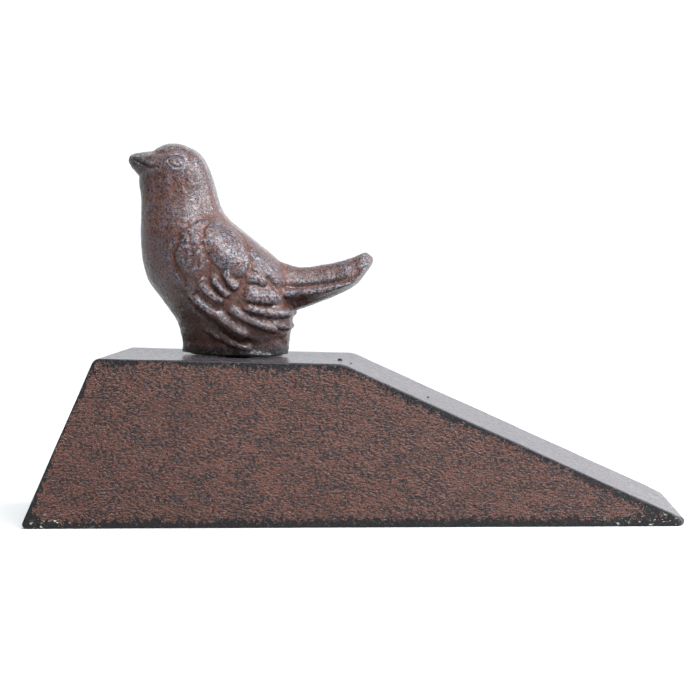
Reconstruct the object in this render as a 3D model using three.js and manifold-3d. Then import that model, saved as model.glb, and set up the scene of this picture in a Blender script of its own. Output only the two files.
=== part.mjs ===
// Door stop: a hollow cast-iron wedge with a cast-iron songbird screwed to its flat top.
//
// Millimetres, +Z up. The origin is the centre of the wedge's footprint, on the floor. +X points down the
// ramp to the toe that goes under the door, and the bird looks towards -X. The object mirrors in the XZ plane.
//
// Five loose pieces: the wedge, the bird, and one M6 screw with a spring washer and a flat washer, put in from
// the hollow under the wedge. Pieces that bear on each other are drawn with GAP between them.

import * as THREE from "three";
import { mergeVertices } from "three/addons/utils/BufferGeometryUtils.js";
import Module from "manifold-3d";

// ---- Wedge: its side view has four corners, given sharp here and rounded by the radii ----
const LENGTH = 144; // over the rounded heel foot and toe
const WIDTH = 41;
const HEEL_X = -72.5;
const TOP_X = -55.2; // the heel face leans in to here
const HEEL_HEIGHT = 37.2; // the flat top falls a little from here ...
const CREST_X = -1;
const CREST_HEIGHT = 35.4; // ... to the crest, where the ramp starts
const TOE_X = 75;
const HEEL_FOOT_R = 1;
const HEEL_TOP_R = 2;
const CREST_R = 7;
const TOE_R = 0.85;
const EDGE_R = 0.6; // cast edges all round both flanks
const WALL = 5;
const TOE_SOLID = 27; // the toe is solid for this length
const HOLLOW_CORNER_R = 2.5;
const HOLLOW_EDGE_R = 1.2;
const HOLLOW_DRAFT = 0.03; // each side wall leans in this much for each millimetre of height

// ---- Screw joint, on the normal of the flat top ----
const JOINT_X = -26.5;
const BOSS_R = 8;
const BOSS_DROP = 2.5; // below the hollow's ceiling
const CLEARANCE_HOLE_R = 3.35;
const TAPPED_HOLE_R = 3.3;
const TAPPED_DEPTH = 13;
const SCREW_R = 3;
const SCREW_REACH = 10; // how far the shank goes into the bird
const HEAD_R = 6;
const HEAD_HEIGHT = 4.2;
const RECESS_LENGTH = 6.4; // cross recess in the head
const RECESS_WIDTH = 1.5;
const RECESS_DEPTH = 2.4;
const WASHER_R = 6.2;
const WASHER_THICK = 1.6;
const SPRING_R = 5.6;
const SPRING_THICK = 1.6;
const SPRING_SPLIT = 0.22; // radians
const GAP = 0.3;

// ---- Bird ----
const FOOT_RISE = 0.75; // the bird stands this far above the flat top, on a smaller foot
const FOOT_LENGTH = 21;
const FOOT_WIDTH = 15;
const BODY_RINGS = 40;
const BODY_SIDES = 36;
const TAIL_RINGS = 14;
const BEAK_RINGS = 8;
const LIMB_SIDES = 20;
const ROUND_SIDES = 32; // holes, washers and screw

const TOP_TILT = Math.atan2(HEEL_HEIGHT - CREST_HEIGHT, CREST_X - TOP_X);
const topHeight = (x) => HEEL_HEIGHT - (x - TOP_X) * Math.tan(TOP_TILT);

// Each body station is a level section: [height, breast x, back x, half width]. The first lies under the foot.
const BODY_STATIONS = [
  [34.5, -38.5, -14.5, 8.5],
  [40.5, -39, -14, 9.5],
  [46, -41, -13.5, 11],
  [51.5, -45, -13.5, 12.5],
  [57, -47.5, -16.5, 13],
  [62, -48, -21.5, 12],
  [68, -48, -28, 9.5],
  [74, -48, -31, 8],
  [79, -47.5, -32.5, 7.5],
  [82.5, -45, -35, 5.5],
  [84.5, -41.5, -38.5, 0.6],
];
const BODY_SKEW = 0.08; // sections are this much fuller towards the back

// Each tail station is a section across the tail: [x, top height, underside height, edge height, half width].
const TAIL_STATIONS = [
  [-25, 58, 43.5, 50.5, 7],
  [-12, 56.5, 46, 50, 7],
  [-5, 57, 48.5, 51.5, 7],
  [1, 59, 52, 54, 7],
  [4.5, 58.5, 57, 58, 3.5],
];

// Each beak station is an upright section: [x, top height, underside height, half width].
const BEAK_STATIONS = [
  [-38.5, 83.5, 75.5, 6],
  [-45, 83, 76.5, 4],
  [-49, 82.5, 79, 2],
  [-50.5, 81.5, 80.5, 0.5],
];

// The folded wing's edge seen from the side, as [x, height], and how far the wing stands out from the body.
const WING_OUTLINE = [
  [-37.5, 63.5],
  [-30, 66],
  [-22, 60],
  [-14.5, 48.5],
  [-14.5, 42],
  [-23.5, 41],
  [-36, 51.5],
  [-38.5, 58],
];
const WING_PROUD = 0.9;
const WING_INNER = 4; // the wing solids start this far from the mid-plane, inside the body
const WING_EDGE_POINTS = 36;

const wasm = await Module();
wasm.setup();

// ---- Solids ----

function toSolid(geometry) {
  const bare = geometry.clone();
  bare.deleteAttribute("normal");
  bare.deleteAttribute("uv");
  const merged = mergeVertices(bare, 1e-4);
  return new wasm.Manifold(
    new wasm.Mesh({
      numProp: 3,
      vertProperties: new Float32Array(merged.attributes.position.array),
      triVerts: new Uint32Array(merged.index.array),
    }),
  );
}

function toGeometry(solid) {
  const mesh = solid.getMesh();
  const geometry = new THREE.BufferGeometry();
  geometry.setAttribute("position", new THREE.BufferAttribute(mesh.vertProperties, 3));
  geometry.setIndex(new THREE.BufferAttribute(mesh.triVerts, 1));
  geometry.computeVertexNormals();
  return geometry;
}

// A closed skin over rings that all hold the same number of points, in order along the piece.
function loft(rings) {
  const sides = rings[0].length;
  const positions = rings.flat().flatMap((p) => p.toArray());
  const centre = (ring) => ring.reduce((sum, p) => sum.add(p), new THREE.Vector3()).divideScalar(sides);
  const first = rings.length * sides;
  positions.push(...centre(rings[0]).toArray(), ...centre(rings.at(-1)).toArray());
  const index = [];
  for (let r = 0; r + 1 < rings.length; r++) {
    for (let s = 0; s < sides; s++) {
      const a = r * sides + s;
      const b = r * sides + ((s + 1) % sides);
      index.push(a, b, b + sides, a, b + sides, a + sides);
    }
  }
  const last = (rings.length - 1) * sides;
  for (let s = 0; s < sides; s++) {
    index.push(first, (s + 1) % sides, s);
    index.push(first + 1, last + s, last + ((s + 1) % sides));
  }
  const geometry = new THREE.BufferGeometry();
  geometry.setAttribute("position", new THREE.Float32BufferAttribute(positions, 3));
  geometry.setIndex(index);
  return geometry;
}

// Stations of any number of values, blended smoothly into count rows.
function blendStations(stations, count) {
  const columns = stations[0].map((_, i) => {
    const points = stations.map((row) => new THREE.Vector3(row[i], 0, 0));
    return new THREE.CatmullRomCurve3(points, false, "catmullrom", 0.5);
  });
  return Array.from({ length: count }, (_, k) => columns.map((c) => c.getPoint(k / (count - 1)).x));
}

// A cylinder standing on the XY plane of its group, from z0 up to z1.
function rod(radius, z0, z1, sides = ROUND_SIDES) {
  return new THREE.CylinderGeometry(radius, radius, z1 - z0, sides)
    .rotateX(Math.PI / 2)
    .translate(0, 0, (z0 + z1) / 2);
}

// Moves a geometry drawn about the screw's axis, with z = 0 on the flat top, to its place on the wedge.
function onJoint(geometry) {
  return geometry.rotateY(TOP_TILT).translate(JOINT_X, 0, topHeight(JOINT_X));
}

// ---- Outlines in the XZ plane ----

// A closed outline from corners [x, z, radius], with each corner turned into an arc.
function roundedOutline(corners) {
  const shape = new THREE.Shape();
  corners.forEach(([x, z, radius], i) => {
    const corner = new THREE.Vector2(x, z);
    const before = new THREE.Vector2(...corners.at(i - 1)).sub(corner).normalize();
    const after = new THREE.Vector2(...corners[(i + 1) % corners.length]).sub(corner).normalize();
    const half = Math.acos(before.dot(after)) / 2;
    const start = corner.clone().addScaledVector(before, radius / Math.tan(half));
    const end = corner.clone().addScaledVector(after, radius / Math.tan(half));
    const bisector = before.clone().add(after).normalize();
    const centre = corner.clone().addScaledVector(bisector, radius / Math.sin(half));
    const from = start.clone().sub(centre).angle();
    const to = end.clone().sub(centre).angle();
    shape[i === 0 ? "moveTo" : "lineTo"](start.x, start.y);
    shape.absarc(centre.x, centre.y, radius, from, to, true);
  });
  return shape;
}

// Extrudes an XZ outline across the width, centred on the XZ plane, with its long edges rounded.
function acrossWidth(shape, width, edgeRadius, edgeSteps) {
  return new THREE.ExtrudeGeometry(shape, {
    depth: width - 2 * edgeRadius,
    curveSegments: 5,
    bevelEnabled: true,
    bevelThickness: edgeRadius,
    bevelSize: edgeRadius,
    bevelOffset: -edgeRadius,
    bevelSegments: edgeSteps,
  })
    .rotateX(Math.PI / 2)
    .translate(0, width / 2 - edgeRadius, 0);
}

// ---- Wedge casting ----

function wedgeOutline() {
  return roundedOutline([
    [HEEL_X, 0, HEEL_FOOT_R],
    [TOP_X, HEEL_HEIGHT, HEEL_TOP_R],
    [CREST_X, CREST_HEIGHT, CREST_R],
    [TOE_X, 0, TOE_R],
  ]);
}

// The hollow keeps WALL from the heel, the top and the ramp, and stops short of the toe.
function hollowSolid() {
  const heelSlope = (TOP_X - HEEL_X) / HEEL_HEIGHT;
  const rampSlope = CREST_HEIGHT / (TOE_X - CREST_X);
  const heelX = (z) => HEEL_X + z * heelSlope + WALL * Math.hypot(1, heelSlope);
  const ceiling = (x) => topHeight(x) - WALL / Math.cos(TOP_TILT);
  const rampZ = (x) => (TOE_X - x) * rampSlope - WALL * Math.hypot(1, rampSlope);
  const below = -10; // the outline runs down through the floor, so that the underside is open
  const topX = heelX(ceiling(TOP_X));
  const crestX = CREST_X - WALL * Math.tan((Math.atan(rampSlope) - TOP_TILT) / 2);
  const endX = TOE_X - TOE_SOLID;
  const shape = roundedOutline([
    [heelX(below), below, HOLLOW_CORNER_R],
    [topX, ceiling(topX), HOLLOW_CORNER_R],
    [crestX, ceiling(crestX), HOLLOW_CORNER_R],
    [endX, rampZ(endX), HOLLOW_CORNER_R],
    [endX, below, HOLLOW_CORNER_R],
  ]);
  const geometry = acrossWidth(shape, WIDTH - 2 * WALL, HOLLOW_EDGE_R, 2);
  const position = geometry.getAttribute("position");
  for (let i = 0; i < position.count; i++) {
    const lean = HOLLOW_DRAFT * Math.max(position.getZ(i), 0);
    position.setY(i, position.getY(i) * (1 - lean / (WIDTH / 2 - WALL)));
  }
  return toSolid(geometry);
}

function wedgeSolid() {
  const block = toSolid(acrossWidth(wedgeOutline(), WIDTH, EDGE_R, 3));
  const boss = toSolid(onJoint(rod(BOSS_R, -WALL - BOSS_DROP, -WALL / 2)));
  const hole = toSolid(onJoint(rod(CLEARANCE_HOLE_R, -2 * WALL - BOSS_DROP, WALL)));
  return block.subtract(hollowSolid()).add(boss).subtract(hole);
}

// ---- Bird casting ----

// The body's skin, made wider on each side by the amount proud.
function bodySolid(proud) {
  const rings = blendStations(BODY_STATIONS, BODY_RINGS).map(([z, breast, back, half]) =>
    Array.from({ length: BODY_SIDES }, (_, s) => {
      const angle = (2 * Math.PI * s) / BODY_SIDES;
      const along = Math.cos(angle);
      const x = (breast + back) / 2 + ((back - breast) / 2) * along;
      return new THREE.Vector3(x, (half + proud) * Math.sin(angle) * (1 + BODY_SKEW * along), z);
    }),
  );
  return toSolid(loft(rings));
}

function tailSolid() {
  const rings = blendStations(TAIL_STATIONS, TAIL_RINGS).map(([x, top, under, edge, half]) =>
    Array.from({ length: LIMB_SIDES }, (_, s) => {
      const angle = (2 * Math.PI * s) / LIMB_SIDES;
      const up = Math.sin(angle);
      const z = edge + up * (up > 0 ? top - edge : edge - under);
      return new THREE.Vector3(x, half * Math.cos(angle), z);
    }),
  );
  return toSolid(loft(rings));
}

function beakSolid() {
  const rings = blendStations(BEAK_STATIONS, BEAK_RINGS).map(([x, top, under, half]) =>
    Array.from({ length: LIMB_SIDES }, (_, s) => {
      const angle = (2 * Math.PI * s) / LIMB_SIDES;
      const z = (top + under) / 2 + ((top - under) / 2) * Math.sin(angle);
      return new THREE.Vector3(x, -half * Math.cos(angle), z);
    }),
  );
  return toSolid(loft(rings));
}

// A wing is the body made WING_PROUD wider and cut to the wing's outline, with the middle left to the body.
function wingsSolid() {
  const edge = new THREE.CatmullRomCurve3(
    WING_OUTLINE.map(([x, z]) => new THREE.Vector3(x, z, 0)),
    true,
  );
  const points = edge.getPoints(WING_EDGE_POINTS).slice(0, -1);
  const shape = new THREE.Shape(points.map((p) => new THREE.Vector2(p.x, p.y)));
  const cutter = new THREE.ExtrudeGeometry(shape, { depth: WIDTH, bevelEnabled: false })
    .rotateX(Math.PI / 2)
    .translate(0, WIDTH / 2, 0);
  const middle = new THREE.BoxGeometry(LENGTH, 2 * WING_INNER, LENGTH);
  return bodySolid(WING_PROUD).intersect(toSolid(cutter)).subtract(toSolid(middle));
}

// The foot is an oval smaller than the bird's base, so that a shadow gap runs round under the bird.
function footSolid() {
  const ring = (z) =>
    Array.from({ length: BODY_SIDES }, (_, s) => {
      const angle = (2 * Math.PI * s) / BODY_SIDES;
      return new THREE.Vector3((FOOT_LENGTH / 2) * Math.cos(angle), (FOOT_WIDTH / 2) * Math.sin(angle), z);
    });
  return toSolid(onJoint(loft([ring(GAP), ring(FOOT_RISE + 2)])));
}

function birdSolid() {
  const ground = new THREE.BoxGeometry(LENGTH, LENGTH, 40).translate(0, 0, FOOT_RISE - 20);
  const hole = rod(TAPPED_HOLE_R, -1, TAPPED_DEPTH);
  return bodySolid(0)
    .add(tailSolid())
    .add(beakSolid())
    .add(wingsSolid())
    .subtract(toSolid(onJoint(ground)))
    .add(footSolid())
    .subtract(toSolid(onJoint(hole)));
}

// ---- Fasteners, drawn about the screw's axis with z = 0 on the flat top ----

const BOSS_FACE = -WALL - BOSS_DROP;
const WASHER_TOP = BOSS_FACE - GAP;
const SPRING_TOP = WASHER_TOP - WASHER_THICK - GAP;
const HEAD_TOP = SPRING_TOP - SPRING_THICK - GAP; // the head's bearing face

function washerGeometry() {
  const bore = toSolid(rod(CLEARANCE_HOLE_R, WASHER_TOP - 2 * WASHER_THICK, WASHER_TOP + WASHER_THICK));
  return toGeometry(toSolid(rod(WASHER_R, WASHER_TOP - WASHER_THICK, WASHER_TOP)).subtract(bore));
}

function springWasherGeometry() {
  const shape = new THREE.Shape();
  const end = 2 * Math.PI - SPRING_SPLIT;
  shape.absarc(0, 0, SPRING_R, SPRING_SPLIT, end, false);
  shape.absarc(0, 0, CLEARANCE_HOLE_R, end, SPRING_SPLIT, true);
  return new THREE.ExtrudeGeometry(shape, {
    depth: SPRING_THICK,
    curveSegments: ROUND_SIDES,
    bevelEnabled: false,
  }).translate(0, 0, SPRING_TOP - SPRING_THICK);
}

function screwGeometry() {
  const chamfer = 0.8;
  const crown = 1.4; // the pan head's rounded rim
  const headFoot = HEAD_TOP - HEAD_HEIGHT;
  const profile = new THREE.Path();
  profile.moveTo(0, headFoot);
  profile.lineTo(HEAD_R - crown, headFoot);
  profile.absarc(HEAD_R - crown, headFoot + crown, crown, -Math.PI / 2, 0, false);
  profile.lineTo(HEAD_R, HEAD_TOP);
  profile.lineTo(SCREW_R, HEAD_TOP);
  profile.lineTo(SCREW_R, SCREW_REACH - chamfer);
  profile.lineTo(SCREW_R - chamfer, SCREW_REACH);
  profile.lineTo(0, SCREW_REACH);
  // A lathe turns its profile about Y, so it is laid over onto the Z axis.
  const body = new THREE.LatheGeometry(profile.getPoints(4), ROUND_SIDES).rotateX(Math.PI / 2);
  const slot = () => new THREE.BoxGeometry(RECESS_LENGTH, RECESS_WIDTH, 2 * RECESS_DEPTH);
  const recess = toSolid(slot().translate(0, 0, headFoot)).add(
    toSolid(slot().rotateZ(Math.PI / 2).translate(0, 0, headFoot)),
  );
  return toGeometry(toSolid(body).subtract(recess));
}

// ---- Assembly ----

const ironBrown = new THREE.MeshStandardMaterial({ color: 0x6b5450, roughness: 0.45, metalness: 0.3 });
const ironBird = new THREE.MeshStandardMaterial({ color: 0x735650, roughness: 0.4, metalness: 0.3 });
const zincSteel = new THREE.MeshStandardMaterial({ color: 0x9a9a98, roughness: 0.35, metalness: 0.9 });

function named(name, geometry, material) {
  const mesh = new THREE.Mesh(geometry, material);
  mesh.name = name;
  return mesh;
}

// The fasteners share one group, turned square to the flat top.
const fasteners = new THREE.Group();
fasteners.position.set(JOINT_X, 0, topHeight(JOINT_X));
fasteners.rotation.y = TOP_TILT;
fasteners.add(
  named("flat_washer", washerGeometry(), zincSteel),
  named("spring_washer", springWasherGeometry(), zincSteel),
  named("fixing_screw", screwGeometry(), zincSteel),
);

const doorStop = new THREE.Group();
doorStop.add(
  named("wedge_casting", toGeometry(wedgeSolid()), ironBrown),
  named("bird_casting", toGeometry(birdSolid()), ironBird),
  fasteners,
);

export default doorStop;
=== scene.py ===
"""Door stop: a cast-iron wedge with a small cast-iron songbird standing on its flat top.

Lengths are typed in millimetres and scaled by MM. +X points down the ramp to the toe, and the camera looks
along +Y.
"""

import math

import bmesh
import bpy
import numpy as np
from mathutils import Matrix, Vector, noise


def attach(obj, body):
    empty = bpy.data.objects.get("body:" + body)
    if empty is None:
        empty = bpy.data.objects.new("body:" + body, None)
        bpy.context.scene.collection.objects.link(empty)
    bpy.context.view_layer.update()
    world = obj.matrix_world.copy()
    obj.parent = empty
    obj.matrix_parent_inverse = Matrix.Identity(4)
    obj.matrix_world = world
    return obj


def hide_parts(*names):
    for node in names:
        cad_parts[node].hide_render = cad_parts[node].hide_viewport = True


MM = 0.001

# ---- The wedge and the joint, as in the CAD ----
WIDTH = 41.0
HEEL_X = -72.5
TOP_X = -55.2
HEEL_HEIGHT = 37.2
CREST_X = -1.0
CREST_HEIGHT = 35.4
TOE_X = 75.0
HEEL_FOOT_R = 1.0
HEEL_TOP_R = 2.0
CREST_R = 7.0
TOE_R = 0.85
EDGE_R = 0.35
WALL = 5.0
TOE_SOLID = 27.0
HOLLOW_CORNER_R = 2.5
HOLLOW_EDGE_R = 1.2
HOLLOW_DRAFT = 0.03
TOE_CORNER_R = 2.2  # the toe's two corners, seen from above
JOINT_X = -26.5
TOP_TILT = math.atan2(HEEL_HEIGHT - CREST_HEIGHT, CREST_X - TOP_X)
BOSS_R = 8.0
BOSS_DROP = 2.5
CLEARANCE_HOLE_R = 3.35
FOOT_RISE = 0.75
FOOT_LENGTH = 21.0
FOOT_WIDTH = 15.0
TAPPED_HOLE_R = 3.3
TAPPED_DEPTH = 13.0
SCREW_R = 3.0
SCREW_REACH = 10.0
HEAD_R = 6.0
HEAD_HEIGHT = 4.2
WASHER_R = 6.2
WASHER_THICK = 1.6
SPRING_R = 5.6
SPRING_THICK = 1.6
SPRING_SPLIT = 0.22
GAP = 0.3
# Small casting pimples on the flat top and the ramp: (x, y, radius, height), longer than wide
PIMPLE_LENGTH = 1.3
PIMPLES = [(-2.5, -7, 0.45, 0.38), (0, -10, 0.22, 0.14), (-14, -15, 0.2, 0.1), (17, -8, 0.25, 0.25)]

# ---- Bird: outlines at the mid-plane, as (height, x), and half widths, as (height, y) ----
BIRD_TOP = 84.6
BREAST = [
    (34.5, -38.5), (40.5, -39), (44.5, -40), (49, -43), (54, -46.4), (60, -47.7), (66, -47.8), (72, -47.6),
    (74.5, -47.9), (76.5, -48), (80, -47), (83, -44.5), (84.2, -42.5), (84.6, -41),
]
BACK = [
    (34.5, -15), (40.5, -14.3), (46, -13.4), (52, -13.5), (57, -16), (62, -21.5), (67, -27.5), (70, -29.5),
    (75, -30.9), (79, -32.2), (82, -34), (84, -37.2), (84.6, -40),
]
HALF_WIDTH = [
    (34.5, 8.5), (40, 9), (46, 11), (52, 12.5), (57, 13), (62, 12), (68, 9.5), (73, 8), (79, 7.5), (82, 5.5),
    (84, 3), (84.6, 0.7),
]
# How much wider the body is behind its middle than in front of it, as (height, share)
FULLNESS = [(34.0, 0.0), (50.0, 0.08), (62.0, 0.12), (70.0, 0.08), (76.0, 0.12), (85.0, 0.18)]

# Tail: (x, ridge height, groove height, edge height, keel height, half width)
TAIL = [
    (-27, 60.5, 51, 49.4, 42.5, 6.5),
    (-18, 58.2, 51.5, 49.9, 44.5, 7),
    (-12, 56.3, 51.6, 50, 46.6, 7),
    (-6, 56.8, 52.1, 50.6, 48.7, 7),
    (0, 58.2, 53.6, 52.4, 51.4, 7),
    (3, 59.4, 56, 55.2, 54.4, 5.5),
    (4.8, 58.2, 57.6, 57.4, 57, 1.5),
]

# Beak: (x, top height, underside height, half width)
BEAK = [
    (-38.5, 83.5, 75, 6),
    (-44.5, 83, 75.5, 4.5),
    (-47.5, 82.7, 77, 3),
    (-49.5, 82.3, 79, 1.6),
    (-50.4, 81.4, 80.4, 0.6),
]

# ---- Relief on each side of the bird, drawn in the side view as (x, height) ----
WING = [
    (-37.5, 64), (-32, 67), (-28, 66.5), (-24.5, 63), (-20.5, 56.5), (-17, 52), (-14, 48), (-13, 42),
    (-18, 40.5), (-23, 40.3), (-29, 44.5), (-35.5, 50.5), (-38, 55), (-39, 60),
]
WING_PROUD = 0.45
WING_EDGE = 1.4
FEATHER_GAIN = 1.25  # the feathers stand out this much more than their rows say
# Feathers: (points from root to tip, half width, how far it stands out)
FEATHERS = [
    ([(-36, 51.5), (-33, 49), (-29, 46), (-25.5, 43), (-22.5, 41.3)], 1.0, 1.1),
    ([(-27.5, 48.2), (-25.7, 47), (-23, 45.2), (-20, 43.7), (-16.5, 42.3)], 0.95, 0.9),
    ([(-18.5, 44), (-16.5, 43.3), (-13.5, 42.7)], 0.7, 0.6),
    ([(-24.5, 48.7), (-21.5, 47.3), (-18, 46.3), (-13.5, 46)], 1.0, 1.0),
    ([(-23.7, 50.7), (-20.5, 49.8), (-16.8, 49.5)], 1.5, 1.2),
    ([(-23, 53.8), (-21, 53.8), (-18.5, 52.7)], 1.0, 0.6),
    ([(-21.5, 56.5), (-20, 55.5), (-18.5, 53.8)], 0.9, 0.45),
    ([(-33, 55.5), (-31.7, 52.2), (-30, 50.5), (-27.5, 49)], 0.85, 1.05),
    ([(-30.3, 55), (-28.8, 52.7), (-26.3, 50.2)], 0.8, 1.0),
    ([(-27.7, 56), (-26.5, 53.7), (-24.7, 51.7)], 0.75, 0.95),
    ([(-34, 44), (-30, 41.6), (-26, 39.4), (-22, 37.8)], 0.8, 0.5),
    ([(-27, 38.6), (-22.5, 36.8), (-18, 36)], 0.8, 0.35),
]
# Grooves: (points, half width, depth)
GROOVES = [
    ([(-36.8, 64.3), (-37.5, 62.3), (-38.8, 60.3), (-38.8, 58), (-37.3, 55.3), (-35.7, 52)], 0.75, 0.8),
    ([(-29.5, 66.8), (-26.5, 64.5), (-23.5, 61), (-21.8, 57.5), (-22.3, 54.7)], 0.45, 0.55),
    ([(-24, 63), (-21.5, 58), (-19, 54.7), (-17, 52), (-15, 49.3), (-14, 46.5)], 0.5, 0.45),
    ([(-36, 50), (-33, 47), (-30, 44.6), (-27.5, 42.7), (-24.5, 40.6), (-22, 40)], 0.7, 0.9),
    ([(-34.5, 51.8), (-32.5, 50), (-30.5, 48.5), (-28.5, 47.3)], 0.5, 0.4),
    ([(-15.5, 52), (-10, 52), (-5, 52.6), (0, 53.4), (2.5, 54.8)], 0.45, 0.5),
    ([(-12.8, 48), (-11.5, 48.8), (-9.8, 49)], 0.6, 0.6),
    ([(-49.3, 81), (-46.5, 79.9), (-45, 79.2), (-43, 78.8)], 0.35, 0.45),
    (
        [
            (-45, 82.2), (-42, 82.4), (-39.5, 83.2), (-37, 82.9), (-35.6, 81.5), (-35.2, 79.2),
            (-36.4, 76.5), (-36.6, 73),
        ],
        0.45,
        0.32,
    ),
    ([(-43, 78), (-43.3, 75), (-43, 71)], 0.6, 0.2),
]
# Ridges: (points, half width, how far it stands out)
RIDGES = [
    ([(-41, 80.8), (-39.3, 81.7), (-37.3, 81.5), (-36, 80.3)], 0.5, 0.28),
    ([(-40.7, 78), (-40.3, 75), (-40.3, 71)], 0.7, 0.2),
    ([(-47.5, 80.7), (-45.3, 80.1), (-43.5, 79.7)], 0.35, 0.2),
    ([(-39.8, 60.3), (-39, 61.7)], 0.4, 0.35),
    ([(-12.5, 50.5), (-8, 51), (-4, 51.8), (-1, 52.5)], 0.7, 0.3),
]
# Mounds: (centre, half length, half width, slope in degrees, how far it stands out)
MOUNDS = [
    ((-34.3, 59.7), 5.5, 3.4, -80, 0.55),
    ((-27, 60.3), 7.0, 3.9, -56, 0.95),
    ((-18.5, 56.5), 6.0, 1.7, -50, 0.4),
]
EYE = (-38.4, 80)
EYE_LENGTH = 2.1
EYE_HEIGHT = 1.3
EYE_SLOPE = -15  # degrees
EYE_DEPTH = 0.7  # scales what the next line says
LIDS, LID_CORNER, EYEBALL, PUPIL = 0.1, -0.16, 0.28, -0.25  # how far each stands out

BARB_PITCH = 1.25
TAIL_BARB_PITCH = 1.15
TAIL_START = (-11, -7)  # the tail's surface fades in between these places along x
# The lesser coverts are a patch of small flakes: centre, reach
COVERTS = (-34, 60)
COVERTS_REACH = (3.5, 6)
# The parting strip: where its edge grooves run, how wide they are and how far round the bird they go
STRIP_HALF = 2.9
STRIP_GROOVE = 0.45
STRIP_LOW = 57
STRIP_FRONT = -46

VOXEL = 0.26
SMOOTHING = 6  # rounds over the new mesh, before the relief
BODY_SIDES = 96
BODY_POWER = 2 / 2.12  # the body's sections are a little squarer than an ellipse
CROWN_START = 80.0  # sections lie closer together above this height
BIRD_SHARP = 60  # degrees


# ---- Numbers ----

FAR = 99.0  # stands for a distance that wasn't worked out


def curve_through(points, count):
    """count points evenly spread in parameter along a Catmull-Rom curve through the points."""
    p = np.asarray(points, float)
    p = np.vstack([2 * p[0] - p[1], p, 2 * p[-1] - p[-2]])
    t = np.linspace(0, len(points) - 1, count)
    i = np.minimum(t.astype(int), len(points) - 2)
    f = (t - i)[:, None]
    a, b, c, d = p[i], p[i + 1], p[i + 2], p[i + 3]
    return 0.5 * (2 * b + (c - a) * f + (2 * a - 5 * b + 4 * c - d) * f**2 + (3 * b - a - 3 * c + d) * f**3)


def profile(points):
    """A smooth function of height through (height, value) points."""
    c = curve_through(points, 12 * len(points))
    order = np.argsort(c[:, 0])
    return lambda z: np.interp(z, c[order, 0], c[order, 1])


def top_height(x):
    return HEEL_HEIGHT - (x - TOP_X) * math.tan(TOP_TILT)


def distance_along(points, x, z, reach=4.0):
    """The signed distance from the curve through the points and the place along it, from 0 to 1.

    The distance is positive above the curve, and FAR beyond reach of the curve's box.
    """
    c = curve_through(points, 8 * len(points))
    low, high = c.min(axis=0) - reach, c.max(axis=0) + reach
    near_box = np.flatnonzero((x > low[0]) & (x < high[0]) & (z > low[1]) & (z < high[1]))
    px, pz = x[near_box], z[near_box]
    best = np.full(len(px), np.inf)
    signed, place = np.zeros(len(px)), np.zeros(len(px))
    for k, (p, q) in enumerate(zip(c, c[1:])):
        d = q - p
        t = np.clip(((px - p[0]) * d[0] + (pz - p[1]) * d[1]) / (d @ d), 0, 1)
        away = np.hypot(px - p[0] - t * d[0], pz - p[1] - t * d[1])
        side = np.sign(d[0] * (pz - p[1]) - d[1] * (px - p[0]))
        near = away < best
        best = np.where(near, away, best)
        signed = np.where(near, away * side, signed)
        place = np.where(near, (k + t) / (len(c) - 1), place)
    all_signed, all_place = np.full(len(x), FAR), np.zeros(len(x))
    all_signed[near_box], all_place[near_box] = signed, place
    return all_signed, all_place


def smoothstep(a, b, v):
    t = np.clip((v - a) / (b - a), 0, 1)
    return t * t * (3 - 2 * t)


def inside(points, x, z, edge):
    """1 inside the closed curve through the points, 0 outside, smooth over the width edge."""
    signed, _ = distance_along([*points, points[0]], x, z)
    return smoothstep(-edge / 2, edge / 2, -signed)


def cloud(co, size, seed):
    """Soft noise of about -1 to 1 at each point, in millimetres, with lumps of that size."""
    shift = Vector((seed * 17.3, seed * 5.9, seed * 11.1))
    return np.array([noise.noise(Vector(p) / size + shift) for p in co])


# ---- Meshes ----


def new_object(name, bm):
    bm.normal_update()
    mesh = bpy.data.meshes.new(name)
    bm.to_mesh(mesh)
    bm.free()
    ob = bpy.data.objects.new(name, mesh)
    bpy.context.scene.collection.objects.link(ob)
    return ob


def loft(name, rings):
    """A closed mesh, in metres, over rings of points in millimetres."""
    bm = bmesh.new()
    rows = [[bm.verts.new(Vector(p) * MM) for p in ring] for ring in rings]
    for lower, upper in zip(rows, rows[1:]):
        for s in range(len(lower)):
            t = (s + 1) % len(lower)
            bm.faces.new((lower[s], lower[t], upper[t], upper[s]))
    bm.faces.new(rows[0][::-1])
    bm.faces.new(rows[-1])
    bmesh.ops.recalc_face_normals(bm, faces=bm.faces)
    return new_object(name, bm)


def lathe(name, outline, sides, closed):
    """A mesh turned about the joint's axis from (radius, height) points.

    An open outline starts and ends on the axis.
    """
    bm = bmesh.new()
    turns = [(math.cos(a), math.sin(a)) for a in np.linspace(0, 2 * math.pi, sides, endpoint=False)]

    def vertex(r, z, c, s):
        return bm.verts.new(on_joint([[(r * c, r * s, z)]])[0][0] * MM)

    rows = [
        [vertex(r, z, 1, 0)] * sides if r == 0 else [vertex(r, z, c, s) for c, s in turns]
        for r, z in outline
    ]
    pairs = list(zip(rows, rows[1:])) + ([(rows[-1], rows[0])] if closed else [])
    for lower, upper in pairs:
        for s in range(sides):
            t = (s + 1) % sides
            # A face that touches the axis has only three corners.
            corners = [lower[s], lower[t], upper[t], upper[s]]
            bm.faces.new(list(dict.fromkeys(corners)))
    bmesh.ops.recalc_face_normals(bm, faces=bm.faces)
    return new_object(name, bm)


def apply_modifiers(ob):
    graph = bpy.context.evaluated_depsgraph_get()
    mesh = bpy.data.meshes.new_from_object(ob.evaluated_get(graph))
    old = ob.data
    ob.modifiers.clear()
    ob.data = mesh
    bpy.data.meshes.remove(old)
    mesh.name = ob.name


def delete(ob):
    mesh = ob.data
    bpy.data.objects.remove(ob)
    bpy.data.meshes.remove(mesh)


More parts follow.
